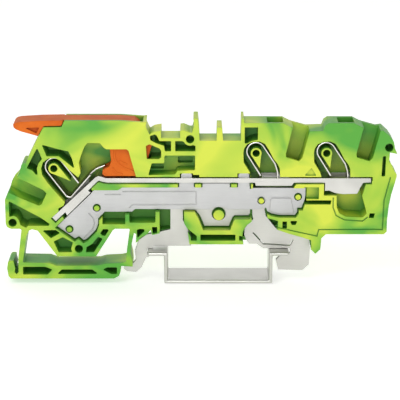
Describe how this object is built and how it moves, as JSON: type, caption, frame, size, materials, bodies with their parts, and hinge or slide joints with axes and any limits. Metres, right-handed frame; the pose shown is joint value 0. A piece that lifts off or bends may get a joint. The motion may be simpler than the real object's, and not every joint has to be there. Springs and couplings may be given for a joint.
{
  "type": "rail terminal block",
  "caption": "Narrow rail-mount earth terminal block with its side open: a lever clamp, push-in clamps, one current bar, a ground plate with a rail hook and a sprung rail latch.",
  "frame": {"origin": "middle of the rail seat on the rail's upper edge, at mid-thickness", "axes": "+X along the block towards its push-in clamp end, +Y through the thickness towards the closed side wall, +Z away from the rail"},
  "size_m": [0.0954, 0.0074, 0.0406],
  "materials": {
    "housing_plastic": "moulded, satin, marbled yellow and green",
    "lever_plastic": "moulded, satin orange",
    "bar_metal": "tin-plated copper strip",
    "plate_metal": "matt nickel-plated stamping",
    "foot_metal": "matt nickel-plated stamping",
    "spring_steel": "bright rolled spring strip"
  },
  "bodies": {
    "block": {"housing": "housing_plastic", "current_bar": "bar_metal", "ground_plate": "plate_metal", "rail_foot": "foot_metal", "lever_spring": "spring_steel", "middle_spring": "spring_steel", "outer_spring": "spring_steel"},
    "lever": {"lever": "lever_plastic"},
    "lever_clamp_leg": {"lever_spring_leg": "spring_steel"},
    "middle_clamp_leg": {"middle_spring_leg": "spring_steel"},
    "outer_clamp_leg": {"outer_spring_leg": "spring_steel"},
    "latch": {"rail_latch": "foot_metal"}
  },
  "joints": [
    {"name": "lever_turn", "type": "hinge", "parent": "block", "child": "lever", "pos_m": [-0.022, 0, 0.02945], "axis": [0, 1, 0], "range_deg": [0, 85]},
    {"name": "lever_clamp", "type": "hinge", "parent": "block", "child": "lever_clamp_leg", "pos_m": [-0.04, 0, 0.0211], "axis": [0, -1, 0], "range_deg": [0, 22]},
    {"name": "middle_clamp", "type": "hinge", "parent": "block", "child": "middle_clamp_leg", "pos_m": [0.0091, 0, 0.02495], "axis": [0, 1, 0], "range_deg": [0, 12], "stiffness_Nm_per_rad": 0.3, "springref_deg": -11.46},
    {"name": "outer_clamp", "type": "hinge", "parent": "block", "child": "outer_clamp_leg", "pos_m": [0.0262, 0, 0.02495], "axis": [0, 1, 0], "range_deg": [0, 12], "stiffness_Nm_per_rad": 0.3, "springref_deg": -11.46},
    {"name": "latch_release", "type": "hinge", "parent": "block", "child": "latch", "pos_m": [0.0105, 0, 0.01265], "axis": [0, -1, 0], "range_deg": [0, 8], "stiffness_Nm_per_rad": 0.5, "springref_deg": -5.73}
  ],
  "couplings": [
    {"joint": "lever_clamp", "follows": "lever_turn", "ratio": 0.2588}
  ]
}
